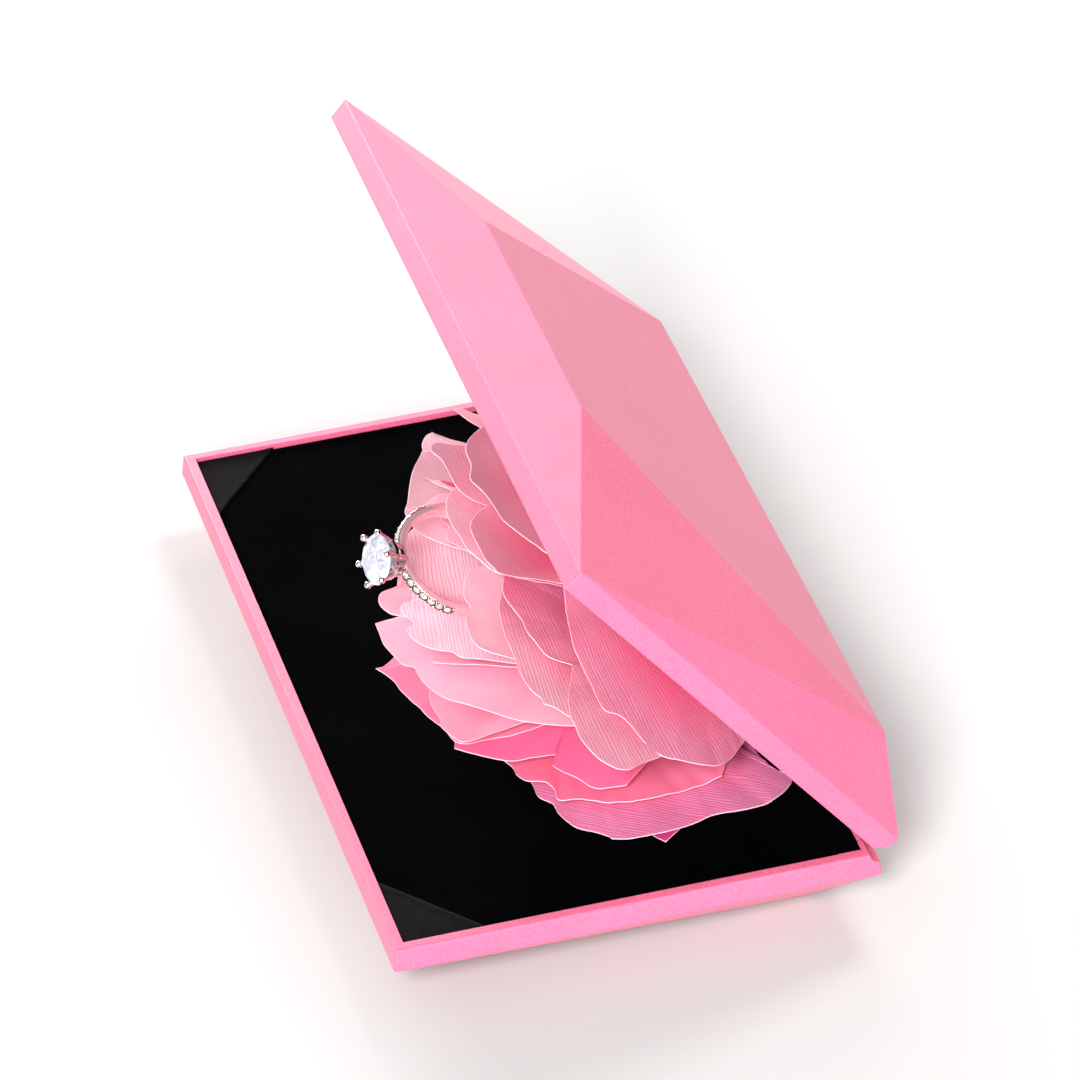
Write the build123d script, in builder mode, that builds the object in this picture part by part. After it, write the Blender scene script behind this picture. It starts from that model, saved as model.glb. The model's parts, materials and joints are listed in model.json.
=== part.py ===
"""Slim faceted ring box that opens like a book and fans out a paper rose with a ring in it.

Millimetres, +Z up.  The origin is the middle of the base's flat underside.  The hinge runs along X
at the back (+Y), the case opens towards the front (-Y), and the lid stands open at LID_OPEN degrees.
"""
import os
from math import atan2, cos, degrees, radians, sin

from build123d import *

os.makedirs("parts", exist_ok=True)

# ---- driving dimensions -------------------------------------------------------------------------
WIDTH = 150.0  # along the hinge, at the mating rims
REACH = 80.5  # hinge edge to free edge, at the mating rims
HALF_DEPTH = 13.6  # rim plane to the flat outer face of one half
RIM_WALL = 3.9  # height of the straight rim wall before the facets start
RIM_FLARE = 0.45  # the wall leans out by this much over its height
SKIN = 1.6  # wall thickness of a shell
LID_OPEN = 51.7  # degrees between the rims as modelled

PLATEAU_FRONT = (29.7, 72.5)  # x, reach of the flat face's front corners
PLATEAU_BACK = (64.7, 9.8)  # x, reach of its back corners

RIM_LIP = 1.8  # rim width around the liner
HINGE_RAIL = 6.2  # rim width on the hinge side
LEDGE = 1.2  # shelf that carries the liner's edge
LINER_DROP = 0.8  # liner face below the rim
LINER_THICK = 0.8
LINER_GAP = 0.1  # liner to the pocket's walls
EDGE_ROUND = 0.4
CORNER_BOSS = (14.0, 13.0)  # x, reach of the solid corner under each magnet
MAGNET_RADIUS = 3.5
MAGNET_THICK = 1.8
MAGNET_INSET = (6.2, 6.2)  # magnet centre in from the liner pocket's front corner
TAB_LEGS = (17.0, 13.7)  # corner tab's legs along x and along the reach
TAB_THICK = 0.2
TAB_GAP = 0.3  # tab to the pocket's walls
FIT = 0.05  # clearance around magnets, screws and pin

BARREL_RADIUS = 1.2
GROOVE_RADIUS = 1.5
PIN_RADIUS = 0.5
PIN_HEAD = (0.95, 0.6)  # radius, length
PIN_OVERHANG = 0.2  # pin beyond the barrel at each end
KNUCKLES = 14
BARREL_LENGTH = 140.0
KNUCKLE_GAP = 0.3
LEAF_THICK = 0.5
LEAF_RECESS = 0.6
LEAF_START = 1.6  # flange's near edge, clear of the barrel
LEAF_END = 6.0
LEAF_ROOT = 0.84  # middle of the strip that joins a knuckle to the flange
LEAF_GAP = (1.0, 0.3, 0.1)  # recess past the leaf at its ends, towards the barrel, away from it
SCREW_X = (-60.0, -20.0, 20.0, 60.0)
SCREW_REACH = 3.9
SCREW_HEAD = (1.1, 0.3)  # radius, height
SCREW_SHANK = (0.5, 3.0)  # radius, length
SCREW_HOLE_SPARE = 0.5  # hole depth past the tip

CARRIER_THICK = 0.6
CARRIER_X = (-14.0, 28.0)
CARRIER_REACH = (7.0, 38.0)
CARRIER_ROUND = 3.0
GUSSET_REACH = 14.0
GUSSET_X = (-10.0, 24.0)
GUSSET_THICK = 0.4
GUSSET_GAP = (0.05, 0.1)  # to the carrier, to the liner
PAD_X = (0.0, 16.0)
PAD_REACH = (38.0, 50.5)
PAD_THICK = 5.0
PAD_ROUND = 2.5
PAD_SLOT_SPARE = (0.3, 0.4)  # slot past the band, outwards and across both sides
PETAL_THICK = 0.3

RING_REACH = 58.0  # ring centre from the hinge axis, on the half-angle plane
RING_X = 8.0
RING_TWIST = -25.6  # hoop plane turned out of the half-angle plane
RING_LEAN = -12.0  # head leant along the hoop, towards +X
RING_BORE = 8.65  # finger hole radius, US size 7
BAND_THICK = 1.5
BAND_WIDTH = 2.0
BAND_ROUND = 0.5
STONE_RADIUS = 4.3
GIRDLE_HEIGHT = 14.3  # girdle above the ring's centre
CROWN = 1.45
PAVILION = 3.6
PRONG_CLOCKING = 10.0  # degrees from the hoop plane to the first prong
PAVE_STEP = 8.2  # degrees between the small stones
PAVE_COUNT = 7  # on each shoulder
PAVE_START = 24.0  # degrees from the head to the first
PAVE_RADIUS = 0.6
PAVE_SINK = 0.35  # seat below the band's outside
PAVE_HEIGHTS = (0.3, 0.2)  # belt, crown
PAVE_TAPER = 35
PAVE_FIT = 0.01
TABLE_SHARE = 0.55  # flat top of the stone against its width
HALF_BELT = 0.12
PRONG_FOOT = 1.7  # radius of the prong circle at the band
PRONG_WIRE = 0.42
PRONG_BALL = 0.6
PRONG_SPREAD = 0.25  # prong tips outside the stone's edge
PRONG_RISE = 0.75  # prong tips above the stone's edge
PRONGS = 6
COLLET = (2.0, 0.45, 0.9)  # radius, sink into the band, height
RAIL = (0.3, 0.35, 0.5)  # outside and inside the prong circle, height

# ---- frames -------------------------------------------------------------------------------------
HINGE = Vector(0, REACH / 2, HALF_DEPTH)


def lid_plane(opening):
    """Local x along the hinge, y out to the lid's free edge, z from its rim out through the lid."""
    turn = radians(opening)
    return Plane(origin=HINGE, x_dir=(-1, 0, 0), z_dir=(0, sin(turn), cos(turn)))


def fan_plane(angle):
    """Plane through the hinge axis, angle degrees from half-way between the rims, + to the lid."""
    turn = radians(LID_OPEN / 2 + angle)
    return Plane(origin=HINGE, x_dir=(1, 0, 0), z_dir=(0, -sin(turn), -cos(turn)))


BASE_HALF = Plane(origin=HINGE, x_dir=(1, 0, 0), z_dir=(0, 0, -1))
LID_HALF = lid_plane(LID_OPEN)
MID_PLANE = fan_plane(0)


def ring_frame():
    """Local z along the finger, y from the ring's centre out through the head."""
    centre = MID_PLANE.from_local_coords(Vector(RING_X, RING_REACH, 0))
    outward = MID_PLANE.y_dir
    along = MID_PLANE.x_dir.rotate(Axis(centre, outward), RING_TWIST)
    finger = along.cross(outward)
    return Plane(origin=centre, x_dir=along.rotate(Axis(centre, finger), RING_LEAN), z_dir=finger)


RING = ring_frame()


def save(piece, name):
    piece.part.label = name
    export_step(piece.part, f"parts/{name}.step")


# ---- shells -------------------------------------------------------------------------------------
def facet_planes(half):
    """The six sloping facets of one half, each plane's normal pointing out of the solid."""
    side, front, back = WIDTH / 2 + RIM_FLARE, REACH + RIM_FLARE, -RIM_FLARE
    planes = []

    def facet(*points):
        a, b, c = [half.from_local_coords(Vector(*p)) for p in points]
        normal = (b - a).cross(c - a)
        if normal.dot(half.z_dir) < 0:
            normal = -normal
        planes.append(Plane(origin=a, z_dir=normal))

    fx, fr = PLATEAU_FRONT
    bx, br = PLATEAU_BACK
    deep = HALF_DEPTH
    facet((-side, front, RIM_WALL), (side, front, RIM_WALL), (fx, fr, deep))
    facet((-side, back, RIM_WALL), (side, back, RIM_WALL), (bx, br, deep))
    for s in (-1, 1):
        facet((s * side, front, RIM_WALL), (s * fx, fr, deep), (s * bx, br, deep))
        facet((s * side, front, RIM_WALL), (s * side, back, RIM_WALL), (s * bx, br, deep))
    return planes


def make_cavity(half):
    """Hollow under the liner, with a solid corner left under each magnet."""
    edge = RIM_LIP + LEDGE
    near, far = HINGE_RAIL + LEDGE, REACH - edge
    with BuildPart() as cavity:
        with BuildSketch(half):
            with Locations((0, near)):
                Rectangle(WIDTH - 2 * edge, far - near, align=(Align.CENTER, Align.MIN))
            with Locations(*[(s * (WIDTH / 2 - edge), far) for s in (-1, 1)]):
                Rectangle(2 * CORNER_BOSS[0], 2 * CORNER_BOSS[1], mode=Mode.SUBTRACT)
        extrude(amount=HALF_DEPTH - SKIN)
        for plane in facet_planes(half):
            split(bisect_by=plane.offset(-SKIN), keep=Keep.BOTTOM)
    return cavity.part


def magnet_places():
    x = WIDTH / 2 - RIM_LIP - MAGNET_INSET[0]
    return [(s * x, REACH - RIM_LIP - MAGNET_INSET[1]) for s in (-1, 1)]


def make_shell(half, name):
    cavity = make_cavity(half)
    with BuildPart() as shell:
        with BuildSketch(half):
            Rectangle(WIDTH, REACH, align=(Align.CENTER, Align.MIN))
        extrude(amount=HALF_DEPTH, taper=-degrees(atan2(RIM_FLARE, RIM_WALL)))
        for plane in facet_planes(half):
            split(bisect_by=plane, keep=Keep.BOTTOM)
        fillet(shell.edges(), radius=EDGE_ROUND)
        add(cavity, mode=Mode.SUBTRACT)
        with BuildSketch(half):
            with Locations((0, HINGE_RAIL)):
                Rectangle(
                    WIDTH - 2 * RIM_LIP,
                    REACH - RIM_LIP - HINGE_RAIL,
                    align=(Align.CENTER, Align.MIN),
                )
        extrude(amount=LINER_DROP + LINER_THICK, mode=Mode.SUBTRACT)
        with BuildSketch(half):
            with Locations((0, LEAF_START - LEAF_GAP[1])):
                Rectangle(
                    BARREL_LENGTH + 2 * LEAF_GAP[0],
                    LEAF_END - LEAF_START + LEAF_GAP[1] + LEAF_GAP[2],
                    align=(Align.CENTER, Align.MIN),
                )
        extrude(amount=LEAF_RECESS, mode=Mode.SUBTRACT)
        with BuildSketch(Plane.YZ.offset(-WIDTH)):
            with Locations((HINGE.Y, HINGE.Z)):
                Circle(GROOVE_RADIUS)
        extrude(amount=2 * WIDTH, mode=Mode.SUBTRACT)
        with BuildSketch(half):
            with Locations(*[(x, SCREW_REACH) for x in SCREW_X]):
                Circle(SCREW_SHANK[0])
        extrude(amount=SCREW_SHANK[1] + SCREW_HOLE_SPARE, mode=Mode.SUBTRACT)
        with BuildSketch(half):
            with Locations(*magnet_places()):
                Circle(MAGNET_RADIUS)
        extrude(amount=LINER_DROP + LINER_THICK + MAGNET_THICK, mode=Mode.SUBTRACT)
    save(shell, name)


# ---- liners, corner tabs and magnets ------------------------------------------------------------
def make_liner(half, name):
    """Black sheet stretched over the hollow, resting on the ledge all round."""
    with BuildPart() as liner:
        with BuildSketch(half.offset(LINER_DROP)):
            with Locations((0, HINGE_RAIL + LINER_GAP)):
                Rectangle(
                    WIDTH - 2 * (RIM_LIP + LINER_GAP),
                    REACH - RIM_LIP - HINGE_RAIL - 2 * LINER_GAP,
                    align=(Align.CENTER, Align.MIN),
                )
        extrude(amount=LINER_THICK)
    save(liner, name)


def make_corner_tabs(half, name):
    """Two triangles lying on the liner, one in each front corner."""
    x, y = WIDTH / 2 - RIM_LIP - TAB_GAP, REACH - RIM_LIP - TAB_GAP
    with BuildPart() as tabs:
        with BuildSketch(half.offset(LINER_DROP - TAB_THICK)):
            for s in (-1, 1):
                with BuildLine():
                    Polyline(
                        (s * x, y),
                        (s * (x - TAB_LEGS[0]), y),
                        (s * x, y - TAB_LEGS[1]),
                        close=True,
                    )
                make_face()
        extrude(amount=TAB_THICK)
    save(tabs, name)


def make_magnets(half, name):
    """Two discs under the liner that hold the case shut."""
    with BuildPart() as magnets:
        with BuildSketch(half.offset(LINER_DROP + LINER_THICK)):
            with Locations(*magnet_places()):
                Circle(MAGNET_RADIUS - FIT)
        extrude(amount=MAGNET_THICK)
    save(magnets, name)


# ---- hinge --------------------------------------------------------------------------------------
def knuckle_centres(odd):
    pitch = BARREL_LENGTH / KNUCKLES
    return [(k + 0.5) * pitch - BARREL_LENGTH / 2 for k in range(odd, KNUCKLES, 2)]


def make_hinge_leaf(half, odd, name):
    """Flange sunk in the rim, with every second knuckle of the barrel."""
    length = BARREL_LENGTH / KNUCKLES - KNUCKLE_GAP
    along = half.x_dir.X
    centres = knuckle_centres(odd)
    with BuildPart() as leaf:
        with BuildSketch(half.offset(LEAF_RECESS - LEAF_THICK)):
            with Locations((0, LEAF_START)):
                Rectangle(BARREL_LENGTH, LEAF_END - LEAF_START, align=(Align.CENTER, Align.MIN))
            with Locations(*[(along * x, LEAF_ROOT) for x in centres]):
                Rectangle(length, LEAF_START, align=(Align.CENTER, Align.MIN))
        extrude(amount=LEAF_THICK)
        for x in centres:
            with BuildSketch(Plane.YZ.offset(x - length / 2)):
                with Locations((HINGE.Y, HINGE.Z)):
                    Circle(BARREL_RADIUS)
            extrude(amount=length)
        with BuildSketch(Plane.YZ.offset(-WIDTH / 2)):
            with Locations((HINGE.Y, HINGE.Z)):
                Circle(PIN_RADIUS + FIT)
        extrude(amount=WIDTH, mode=Mode.SUBTRACT)
        with BuildSketch(half):
            with Locations(*[(x, SCREW_REACH) for x in SCREW_X]):
                Circle(SCREW_SHANK[0] + FIT)
        extrude(amount=LEAF_RECESS, mode=Mode.SUBTRACT)
        with BuildSketch(half):
            with Locations(*[(x, SCREW_REACH) for x in SCREW_X]):
                Circle(SCREW_HEAD[0] + FIT)
        extrude(amount=LEAF_RECESS - LEAF_THICK + SCREW_HEAD[1], mode=Mode.SUBTRACT)
    save(leaf, name)


def make_hinge_screws(half, name):
    top = LEAF_RECESS - LEAF_THICK
    with BuildPart() as screws:
        with BuildSketch(half.offset(top)):
            with Locations(*[(x, SCREW_REACH) for x in SCREW_X]):
                Circle(SCREW_HEAD[0])
        extrude(amount=SCREW_HEAD[1])
        with BuildSketch(half.offset(top + SCREW_HEAD[1])):
            with Locations(*[(x, SCREW_REACH) for x in SCREW_X]):
                Circle(SCREW_SHANK[0])
        extrude(amount=SCREW_SHANK[1])
    save(screws, name)


def make_hinge_pin(name):
    head_radius, head_length = PIN_HEAD
    end = BARREL_LENGTH / 2 + PIN_OVERHANG
    with BuildPart() as pin:
        for start, length, radius in (
            (-end, 2 * end, PIN_RADIUS),
            (-end - head_length, head_length, head_radius),
            (end, head_length, head_radius),
        ):
            with BuildSketch(Plane.YZ.offset(start)):
                with Locations((HINGE.Y, HINGE.Z)):
                    Circle(radius)
            extrude(amount=length)
    save(pin, name)


# ---- rose carrier, gussets and ring pad ---------------------------------------------------------
def middle(pair):
    return (pair[0] + pair[1]) / 2


def span(pair):
    return pair[1] - pair[0]


def make_carrier(name):
    """Stiff card that stays half-way between base and lid and carries the pad."""
    with BuildPart() as carrier:
        with BuildSketch(MID_PLANE):
            with Locations((middle(CARRIER_X), middle(CARRIER_REACH))):
                Rectangle(span(CARRIER_X), span(CARRIER_REACH))
            fillet(vertices(), radius=CARRIER_ROUND)
        extrude(amount=CARRIER_THICK / 2, both=True)
    save(carrier, name)


def make_gusset(side, name):
    """Folding paper strut between the carrier and one liner, side -1 for the base, 1 for the lid."""
    turn = radians(LID_OPEN / 2)
    rise = (GUSSET_REACH * sin(turn) + LINER_DROP - GUSSET_GAP[1]) / cos(turn)
    start = CARRIER_THICK / 2 + GUSSET_GAP[0]
    with BuildPart() as gusset:
        with BuildSketch(MID_PLANE.offset(-side * (start + rise) / 2)):
            with Locations((middle(GUSSET_X), GUSSET_REACH)):
                Rectangle(span(GUSSET_X), GUSSET_THICK)
        extrude(amount=(rise - start) / 2, both=True)
    save(gusset, name)


def make_ring_pad(name):
    """Soft block at the heart of the rose, slotted for the back of the hoop."""
    slot_radius = RING_BORE + BAND_THICK + PAD_SLOT_SPARE[0]
    slot_width = BAND_WIDTH + PAD_SLOT_SPARE[1]
    with BuildPart() as pad:
        with BuildSketch(MID_PLANE):
            with Locations((middle(PAD_X), middle(PAD_REACH))):
                RectangleRounded(span(PAD_X), span(PAD_REACH), radius=PAD_ROUND)
        extrude(amount=PAD_THICK / 2, both=True)
        with BuildSketch(RING):
            Circle(slot_radius)
        extrude(amount=slot_width / 2, both=True, mode=Mode.SUBTRACT)
    save(pad, name)


# ---- ring ---------------------------------------------------------------------------------------
HEAD_AXIS = Plane(origin=RING.origin, x_dir=RING.x_dir, z_dir=RING.y_dir)
BAND_OUTER = RING_BORE + BAND_THICK


def pave_angles():
    return [s * (PAVE_START + k * PAVE_STEP) for s in (-1, 1) for k in range(PAVE_COUNT)]


def pave_planes():
    """One plane at each small stone's seat, z out of the band."""
    planes = []
    for turn in pave_angles():
        out = RING.y_dir * cos(radians(turn)) + RING.x_dir * sin(radians(turn))
        seat = RING.origin + out * (BAND_OUTER - PAVE_SINK)
        planes.append(Plane(origin=seat, x_dir=RING.z_dir, z_dir=out))
    return planes


def make_ring_shank(name):
    """Comfort-fit band with drilled seats for the small stones."""
    profile = Plane(origin=RING.origin, x_dir=RING.y_dir, z_dir=RING.x_dir)
    with BuildPart() as shank:
        with BuildSketch(profile):
            with Locations((middle((RING_BORE, BAND_OUTER)), 0)):
                RectangleRounded(BAND_THICK, BAND_WIDTH, radius=BAND_ROUND)
        revolve(axis=Axis(RING.origin, RING.z_dir), revolution_arc=360)
        for seat in pave_planes():
            with BuildSketch(seat):
                Circle(PAVE_RADIUS)
            extrude(amount=BAND_THICK / 2, mode=Mode.SUBTRACT)
    save(shank, name)


def make_pave(name):
    belt, crown = PAVE_HEIGHTS
    with BuildPart() as pave:
        for seat in pave_planes():
            with BuildSketch(seat):
                Circle(PAVE_RADIUS - PAVE_FIT)
            extrude(amount=belt)
            with BuildSketch(seat.offset(belt)):
                Circle(PAVE_RADIUS - PAVE_FIT)
            extrude(amount=crown, taper=PAVE_TAPER)
    save(pave, name)


def stone_profile():
    """Half outline of the round stone, radius against height above the ring's centre."""
    return [
        (0, GIRDLE_HEIGHT + CROWN),
        (TABLE_SHARE * STONE_RADIUS, GIRDLE_HEIGHT + CROWN),
        (STONE_RADIUS, GIRDLE_HEIGHT + HALF_BELT),
        (STONE_RADIUS, GIRDLE_HEIGHT - HALF_BELT),
        (0, GIRDLE_HEIGHT - PAVILION),
    ]


def make_stone(name):
    with BuildPart() as stone:
        with BuildSketch(RING):
            with BuildLine():
                Polyline(*stone_profile(), close=True)
            make_face()
        revolve(axis=Axis(RING.origin, RING.y_dir), revolution_arc=360)
    save(stone, name)
    return stone.part


def make_ring_head(stone, name):
    """Six prongs on a small collet, cut to the stone that they hold."""
    root, tip_radius = BAND_OUTER - COLLET[1], STONE_RADIUS + PRONG_SPREAD
    rail_radius = middle((PRONG_FOOT, tip_radius))
    with BuildPart() as head:
        with BuildSketch(HEAD_AXIS.offset(root)):
            Circle(COLLET[0])
        extrude(amount=COLLET[2])
        with BuildSketch(HEAD_AXIS.offset(middle((root, GIRDLE_HEIGHT)))):
            Circle(rail_radius + RAIL[0])
            Circle(rail_radius - RAIL[1], mode=Mode.SUBTRACT)
        extrude(amount=RAIL[2])
        for k in range(PRONGS):
            turn = radians(360 / PRONGS * k + PRONG_CLOCKING)
            way = Vector(cos(turn), sin(turn), 0)
            low = HEAD_AXIS.from_local_coords(way * PRONG_FOOT + Vector(0, 0, root))
            tip = way * tip_radius + Vector(0, 0, GIRDLE_HEIGHT + PRONG_RISE)
            high = HEAD_AXIS.from_local_coords(tip)
            with BuildSketch(Plane(origin=low, z_dir=high - low)):
                Circle(PRONG_WIRE)
            extrude(amount=(high - low).length)
            with Locations(high):
                Sphere(PRONG_BALL)
        add(stone, mode=Mode.SUBTRACT)
        with BuildSketch(RING):
            Circle(BAND_OUTER)
        extrude(amount=BAND_WIDTH, both=True, mode=Mode.SUBTRACT)
    save(head, name)


# ---- petals -------------------------------------------------------------------------------------
# Paper petals as plain leaves fanned about the hinge axis: fan angle from half-way (+ to the lid),
# (x, reach) of the middle, (half width along x, half length along the reach).
PETALS = {
    "petal_under": (-25.5, (44, 28), (16, 13)),
    "petal_base_near_1": (-24.0, (39, 29), (19, 19)),
    "petal_base_near_2": (-21.6, (34, 33), (17, 18)),
    "petal_base_near_3": (-18.6, (33, 41), (16, 17)),
    "petal_base_near_4": (-15.6, (24, 47), (14, 14)),
    "petal_base_far_1": (-24.4, (-37, 30), (16, 19)),
    "petal_base_far_2": (-21.8, (-29, 35), (17, 18)),
    "petal_base_far_3": (-19.3, (-22, 40), (19, 18)),
    "petal_base_far_4": (-16.6, (-17, 43), (18, 16)),
    "petal_front_1": (-17.2, (18, 52), (16, 13)),
    "petal_front_2": (-11.4, (20, 50), (6, 11)),
    "petal_front_3": (-13.4, (16, 50), (19, 15)),
    "petal_front_lobe": (-9.0, (4, 56), (9, 11)),
    "petal_far_tips": (-8.0, (-46, 30), (9, 7)),
    "petal_far_4": (-9.6, (-25, 43), (19, 12)),
    "petal_heart_back": (-7.0, (4, 50), (20, 13)),
    "petal_heart_side": (-2.4, (-11, 47), (7, 8)),
    "petal_far_1": (-3.8, (-20, 48), (16, 11)),
    "petal_near_1": (-2.5, (27, 48), (8, 10)),
    "petal_near_2": (0.9, (36, 46), (14, 7.5)),
    "petal_far_2": (1.0, (-12, 46), (10, 10)),
    "petal_near_3": (4.3, (40, 42), (20, 12)),
    "petal_far_3": (5.0, (-17, 45), (10, 10)),
    "petal_heart_front": (7.0, (7, 46), (14, 11)),
    "petal_near_4": (8.7, (34, 34), (24, 12)),
    "petal_lid_1": (12.0, (-4, 44), (20, 14)),
    "petal_lid_far_1": (15.5, (-24, 37), (22, 13)),
    "petal_lid_near_1": (18.0, (20, 37), (22, 15)),
    "petal_lid_far_2": (20.6, (-20, 37), (30, 17)),
    "petal_lid_2": (23.0, (12, 35), (38, 19)),
}


def make_petal(name):
    angle, middle_point, half_sizes = PETALS[name]
    with BuildPart() as petal:
        with BuildSketch(fan_plane(angle)):
            with Locations(middle_point):
                Ellipse(*half_sizes)
        extrude(amount=PETAL_THICK / 2, both=True)
    save(petal, name)


# ---- the whole box ------------------------------------------------------------------------------
for half, prefix, odd in ((BASE_HALF, "base", 0), (LID_HALF, "lid", 1)):
    make_shell(half, f"{prefix}_shell")
    make_liner(half, f"{prefix}_liner")
    make_corner_tabs(half, f"{prefix}_corner_tabs")
    make_magnets(half, f"{prefix}_magnets")
    make_hinge_leaf(half, odd, f"{prefix}_hinge_leaf")
    make_hinge_screws(half, f"{prefix}_hinge_screws")
make_hinge_pin("hinge_pin")
make_carrier("rose_carrier")
make_gusset(-1, "base_gusset")
make_gusset(1, "lid_gusset")
make_ring_pad("ring_pad")
make_ring_shank("ring_shank")
make_pave("ring_pave_stones")
make_ring_head(make_stone("ring_stone"), "ring_head")
for petal_name in PETALS:
    make_petal(petal_name)
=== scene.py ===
"""Looks for the slim faceted ring box with a fanned paper rose: materials, petals, ring, studio.

Blender works in metres; lengths here are millimetres unless a comment says otherwise, and MM turns them
into metres.  Petals are placed in the fan that the lid makes as it opens: x along the hinge, reach from
the hinge axis, and the fan angle from half-way between the halves, in degrees, + towards the lid.
"""
import json
from math import cos, degrees, hypot, pi, radians, sin

import bpy
import bmesh
from mathutils import Matrix, Quaternion, Vector, noise


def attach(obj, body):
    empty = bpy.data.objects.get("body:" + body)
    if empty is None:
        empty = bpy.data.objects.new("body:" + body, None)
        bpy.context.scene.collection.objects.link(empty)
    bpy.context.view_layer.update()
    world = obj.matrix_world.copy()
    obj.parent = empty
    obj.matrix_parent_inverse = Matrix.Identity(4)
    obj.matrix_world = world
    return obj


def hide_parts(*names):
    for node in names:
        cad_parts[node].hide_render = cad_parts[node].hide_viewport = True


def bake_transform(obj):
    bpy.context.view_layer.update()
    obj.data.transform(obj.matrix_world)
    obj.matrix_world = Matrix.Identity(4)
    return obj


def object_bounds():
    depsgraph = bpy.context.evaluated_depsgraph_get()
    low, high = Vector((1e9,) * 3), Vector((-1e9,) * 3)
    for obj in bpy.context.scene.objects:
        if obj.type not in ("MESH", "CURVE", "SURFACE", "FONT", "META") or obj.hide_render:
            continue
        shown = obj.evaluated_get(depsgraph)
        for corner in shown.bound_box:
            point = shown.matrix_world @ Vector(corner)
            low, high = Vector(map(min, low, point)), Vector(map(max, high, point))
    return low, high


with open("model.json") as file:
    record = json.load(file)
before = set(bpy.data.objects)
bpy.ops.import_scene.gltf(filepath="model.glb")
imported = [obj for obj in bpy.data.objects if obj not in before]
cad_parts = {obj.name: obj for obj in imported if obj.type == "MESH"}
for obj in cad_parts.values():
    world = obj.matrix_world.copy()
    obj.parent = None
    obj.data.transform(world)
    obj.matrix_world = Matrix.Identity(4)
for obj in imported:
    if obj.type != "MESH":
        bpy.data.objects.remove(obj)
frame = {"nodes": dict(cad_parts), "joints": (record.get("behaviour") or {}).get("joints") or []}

cad_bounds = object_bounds()
MM = 0.001

# ---- the frame's own numbers --------------------------------------------------------------------
LID_JOINT = next(j for j in frame["joints"] if j["name"] == "lid_hinge")
HINGE = Vector(LID_JOINT["pos_m"])
LID_OPEN = radians(-LID_JOINT["range_deg"][0])
HALF_TURN = degrees(LID_OPEN) / 2  # fan angle of the lid's rim; the base's is minus this
HALVES = (("base", -1), ("lid", 1))
ALONG = Vector((1, 0, 0))


def fan_axes(angle):
    """Unit vectors out along the reach and up towards the lid, at a fan angle in degrees."""
    turn = LID_OPEN / 2 + radians(angle)
    return Vector((0, -cos(turn), sin(turn))), Vector((0, sin(turn), cos(turn)))


def fan_point(x, reach, angle, lift=0.0):
    """A point of the fan, from millimetres and degrees."""
    out, up = fan_axes(angle)
    return HINGE + (ALONG * x + out * reach + up * lift) * MM


def steps(first, last, count):
    """Evenly spaced numbers from first to last."""
    return [first + (last - first) * k / (count - 1) for k in range(count)]


# ---- camera, floor and light --------------------------------------------------------------------
CAMERA_AIM = Vector((-0.0145, 0.0087, 0.0238))  # metres
CAMERA_AZIMUTH, CAMERA_ELEVATION, CAMERA_ROLL = 76.34, 34.32, 3.02  # degrees
CAMERA_DISTANCE = 1.2  # metres
CAMERA_LENS = 236.1
CAMERA_CLIP = (0.05, 50)  # metres
LAMPS = (  # name, place in metres, watts
    ("camera_side", (0.95, -0.45, 0.75), 24.5),
    ("far_low", (-1.05, -0.10, 0.15), 26.0),
    ("near_front_low", (1.05, -0.45, 0.10), 7.5),
    ("near_back_low", (1.10, 0.20, 0.20), 4.0),
    ("far_back", (-1.00, 0.35, 0.75), 3.5),
    ("top_back", (-0.45, 0.55, 1.00), 6.5),
)
LAMP_AIM = Vector((0, 0, 0.04))  # metres
LAMP_SIZE = 0.40  # metres across
LAMP_COLOUR = (1.0, 0.99, 0.975)
SKY_STRENGTH = 0.40
FLOOR_GREY = 0.50
FLOOR_HALF, FLOOR_GAP = 6.0, 0.0002  # metres: half its side, and its place below the object


def make_camera():
    a, e = radians(CAMERA_AZIMUTH), radians(CAMERA_ELEVATION)
    back = Vector((sin(a) * cos(e), -cos(a) * cos(e), sin(e)))
    data = bpy.data.cameras.new("camera")
    data.lens = CAMERA_LENS
    data.clip_start, data.clip_end = CAMERA_CLIP
    camera = bpy.data.objects.new("camera", data)
    bpy.context.scene.collection.objects.link(camera)
    camera.rotation_mode = "QUATERNION"
    camera.location = CAMERA_AIM + back * CAMERA_DISTANCE
    level = (-back).to_track_quat("-Z", "Y")
    camera.rotation_quaternion = Quaternion(-back, radians(CAMERA_ROLL)) @ level
    bpy.context.scene.camera = camera


def make_lamp(name, place, watts):
    """A round soft lamp that points at the object."""
    data = bpy.data.lights.new(name, "AREA")
    data.shape, data.size, data.energy, data.color = "DISK", LAMP_SIZE, watts, LAMP_COLOUR
    lamp = bpy.data.objects.new(name, data)
    bpy.context.scene.collection.objects.link(lamp)
    lamp.location = place
    lamp.rotation_mode = "QUATERNION"
    lamp.rotation_quaternion = (LAMP_AIM - Vector(place)).to_track_quat("-Z", "Y")


def make_studio():
    world = bpy.data.worlds.new("studio")
    bpy.context.scene.world = world
    world.use_nodes = True
    sky = world.node_tree.nodes["Background"]
    sky.inputs["Color"].default_value = (1.0, 1.0, 1.0, 1)
    sky.inputs["Strength"].default_value = SKY_STRENGTH
    for name, place, watts in LAMPS:
        make_lamp(name, place, watts)
    bpy.context.scene.view_settings.view_transform = "Standard"
    mesh = bpy.data.meshes.new("floor")
    bm = bmesh.new()
    bmesh.ops.create_grid(bm, x_segments=2, y_segments=2, size=FLOOR_HALF)
    bm.to_mesh(mesh)
    bm.free()
    floor = bpy.data.objects.new("floor", mesh)
    floor.location.z = cad_bounds[0].z - FLOOR_GAP
    bpy.context.scene.collection.objects.link(floor)
    floor.data.materials.append(floor_material())


# ---- material helpers ---------------------------------------------------------------------------
def rgba(colour):
    return (*colour, 1)


def grey(value):
    return (value, value, value, 1)


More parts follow.
